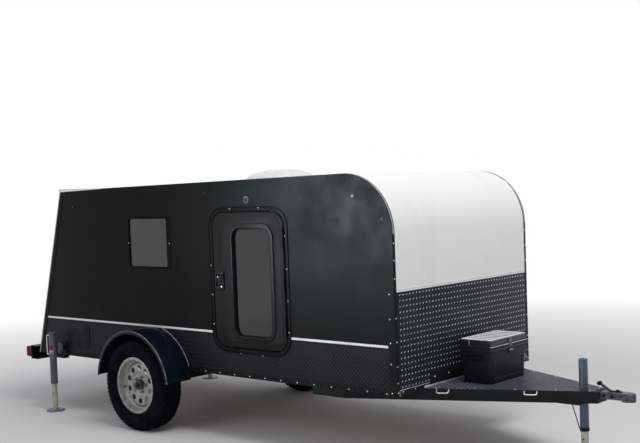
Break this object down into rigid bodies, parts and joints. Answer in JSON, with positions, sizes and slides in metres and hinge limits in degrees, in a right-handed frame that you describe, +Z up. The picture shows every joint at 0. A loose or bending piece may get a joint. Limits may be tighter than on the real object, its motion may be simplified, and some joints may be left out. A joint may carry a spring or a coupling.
{
  "type": "teardrop trailer",
  "caption": "Small square-backed teardrop camping trailer with a round white front, side doors, rear hatch, fendered wheels, tread-plate tongue and parking jacks.",
  "frame": {"origin": "on the ground, midway between the foremost and rearmost points and on the centreline", "axes": "+X forward to the coupler, +Y to the left, +Z up"},
  "size_m": [5.125, 1.982, 1.8816],
  "materials": {
    "black_panel": "smooth dark charcoal paint with a soft gloss",
    "black_tread_plate": "black diamond tread plate, satin",
    "white_trim": "white painted flat trim",
    "white_panel": "white painted sheet, semi-gloss",
    "plywood": "varnished plywood",
    "edge_aluminium": "dark anodised edge trim with screws",
    "black_trim": "black powder coat",
    "dark_glass": "dark tinted glazing",
    "black_plastic": "black moulded plastic, fine grain",
    "white_plastic": "white moulded plastic",
    "black_steel": "black painted steel",
    "bare_tread_plate": "bright bare diamond tread plate",
    "bright_steel": "zinc plated bent rod",
    "grey_steel": "grey-blue painted steel, scuffed",
    "galvanised_steel": "galvanised steel, dull",
    "wheel_paint": "silver-cream painted steel wheel",
    "tyre": "black rubber, dusty",
    "red_lens": "red lamp lens",
    "amber_lens": "amber lamp lens",
    "porch_lens": "clear lamp lens in a bright rim"
  },
  "bodies": {
    "trailer": {"axle": "black_steel", "chassis_frame": "black_steel", "coupler": "grey_steel", "coupler_latch": "grey_steel", "door_frames": "black_trim", "edge_trims": "edge_aluminium", "fender_left": "black_steel", "fender_right": "black_steel", "floor_panel": "plywood", "front_guard": "black_tread_plate", "front_panel": "white_panel", "galley_bulkhead": "plywood", "jack_brackets": "black_steel", "leaf_springs": "black_steel", "lower_side_plates": "black_tread_plate", "marker_lamps": "amber_lens", "porch_lamps": "porch_lens", "rear_bumper": "black_steel", "rear_sill": "black_panel", "roof_panel": "white_panel", "roof_vent": "white_plastic", "side_strips": "white_trim", "side_wall_left": "black_panel", "side_wall_right": "black_panel", "tail_lamp_bases": "black_plastic", "tail_lamp_lenses": "red_lens", "tie_down_loops": "bright_steel", "tongue_deck": "bare_tread_plate", "tongue_jack": "grey_steel", "tongue_rails": "black_steel", "tool_box": "black_plastic", "window_frames": "black_trim", "window_panes": "dark_glass"},
    "wheel_right": {"wheel_right": "wheel_paint", "tyre_right": "tyre"},
    "wheel_left": {"wheel_left": "wheel_paint", "tyre_left": "tyre"},
    "door_right": {"door_right": "black_panel", "door_pane_right": "dark_glass", "door_latch_right": "black_plastic"},
    "door_left": {"door_left": "black_panel", "door_pane_left": "dark_glass", "door_latch_left": "black_plastic"},
    "rear_hatch": {"rear_hatch": "black_panel", "hatch_latch": "black_plastic"},
    "vent_lid": {"vent_lid": "white_plastic"},
    "tool_box_lid": {"tool_box_lid": "black_plastic"},
    "tongue_leg": {"tongue_leg": "galvanised_steel"},
    "stabilizer_right": {"stabilizer_right": "grey_steel"},
    "stabilizer_left": {"stabilizer_left": "grey_steel"},
    "stabilizer_leg_right": {"stabilizer_leg_right": "galvanised_steel"},
    "stabilizer_leg_left": {"stabilizer_leg_left": "galvanised_steel"}
  },
  "joints": [
    {"name": "wheel_right_spin", "type": "hinge", "parent": "trailer", "child": "wheel_right", "pos_m": [-0.8705, -0.877, 0.335], "axis": [0, 1, 0], "continuous": true},
    {"name": "door_right_swing", "type": "hinge", "parent": "trailer", "child": "door_right", "pos_m": [0.507, -0.772, 1.118], "axis": [0, 0, 1], "range_deg": [0, 110]},
    {"name": "wheel_left_spin", "type": "hinge", "parent": "trailer", "child": "wheel_left", "pos_m": [-0.8705, 0.877, 0.335], "axis": [0, 1, 0], "continuous": true},
    {"name": "door_left_swing", "type": "hinge", "parent": "trailer", "child": "door_left", "pos_m": [0.507, 0.772, 1.118], "axis": [0, 0, -1], "range_deg": [0, 110]},
    {"name": "rear_hatch_lift", "type": "hinge", "parent": "trailer", "child": "rear_hatch", "pos_m": [-1.98574, 0, 1.7395], "axis": [0, 1, 0], "range_deg": [0, 85]},
    {"name": "vent_lid_lift", "type": "hinge", "parent": "trailer", "child": "vent_lid", "pos_m": [-0.02261, 0, 1.81017], "axis": [0, 1, 0], "range_deg": [0, 60]},
    {"name": "tool_box_lid_lift", "type": "hinge", "parent": "trailer", "child": "tool_box_lid", "pos_m": [1.4695, 0, 0.68015], "axis": [0, -1, 0], "range_deg": [0, 75]},
    {"name": "tongue_leg_slide", "type": "slide", "parent": "trailer", "child": "tongue_leg", "axis": [0, 0, 1], "range_m": [0, 0.1]},
    {"name": "stabilizer_right_swivel", "type": "hinge", "parent": "trailer", "child": "stabilizer_right", "pos_m": [-2.0205, -0.85, 0.512], "axis": [0, -1, 0], "range_deg": [0, 90]},
    {"name": "stabilizer_leg_right_slide", "type": "slide", "parent": "stabilizer_right", "child": "stabilizer_leg_right", "axis": [0, 0, 1], "range_m": [0, 0.1]},
    {"name": "stabilizer_left_swivel", "type": "hinge", "parent": "trailer", "child": "stabilizer_left", "pos_m": [-2.0205, 0.85, 0.512], "axis": [0, -1, 0], "range_deg": [0, 90]},
    {"name": "stabilizer_leg_left_slide", "type": "slide", "parent": "stabilizer_left", "child": "stabilizer_leg_left", "axis": [0, 0, 1], "range_m": [0, 0.1]}
  ]
}
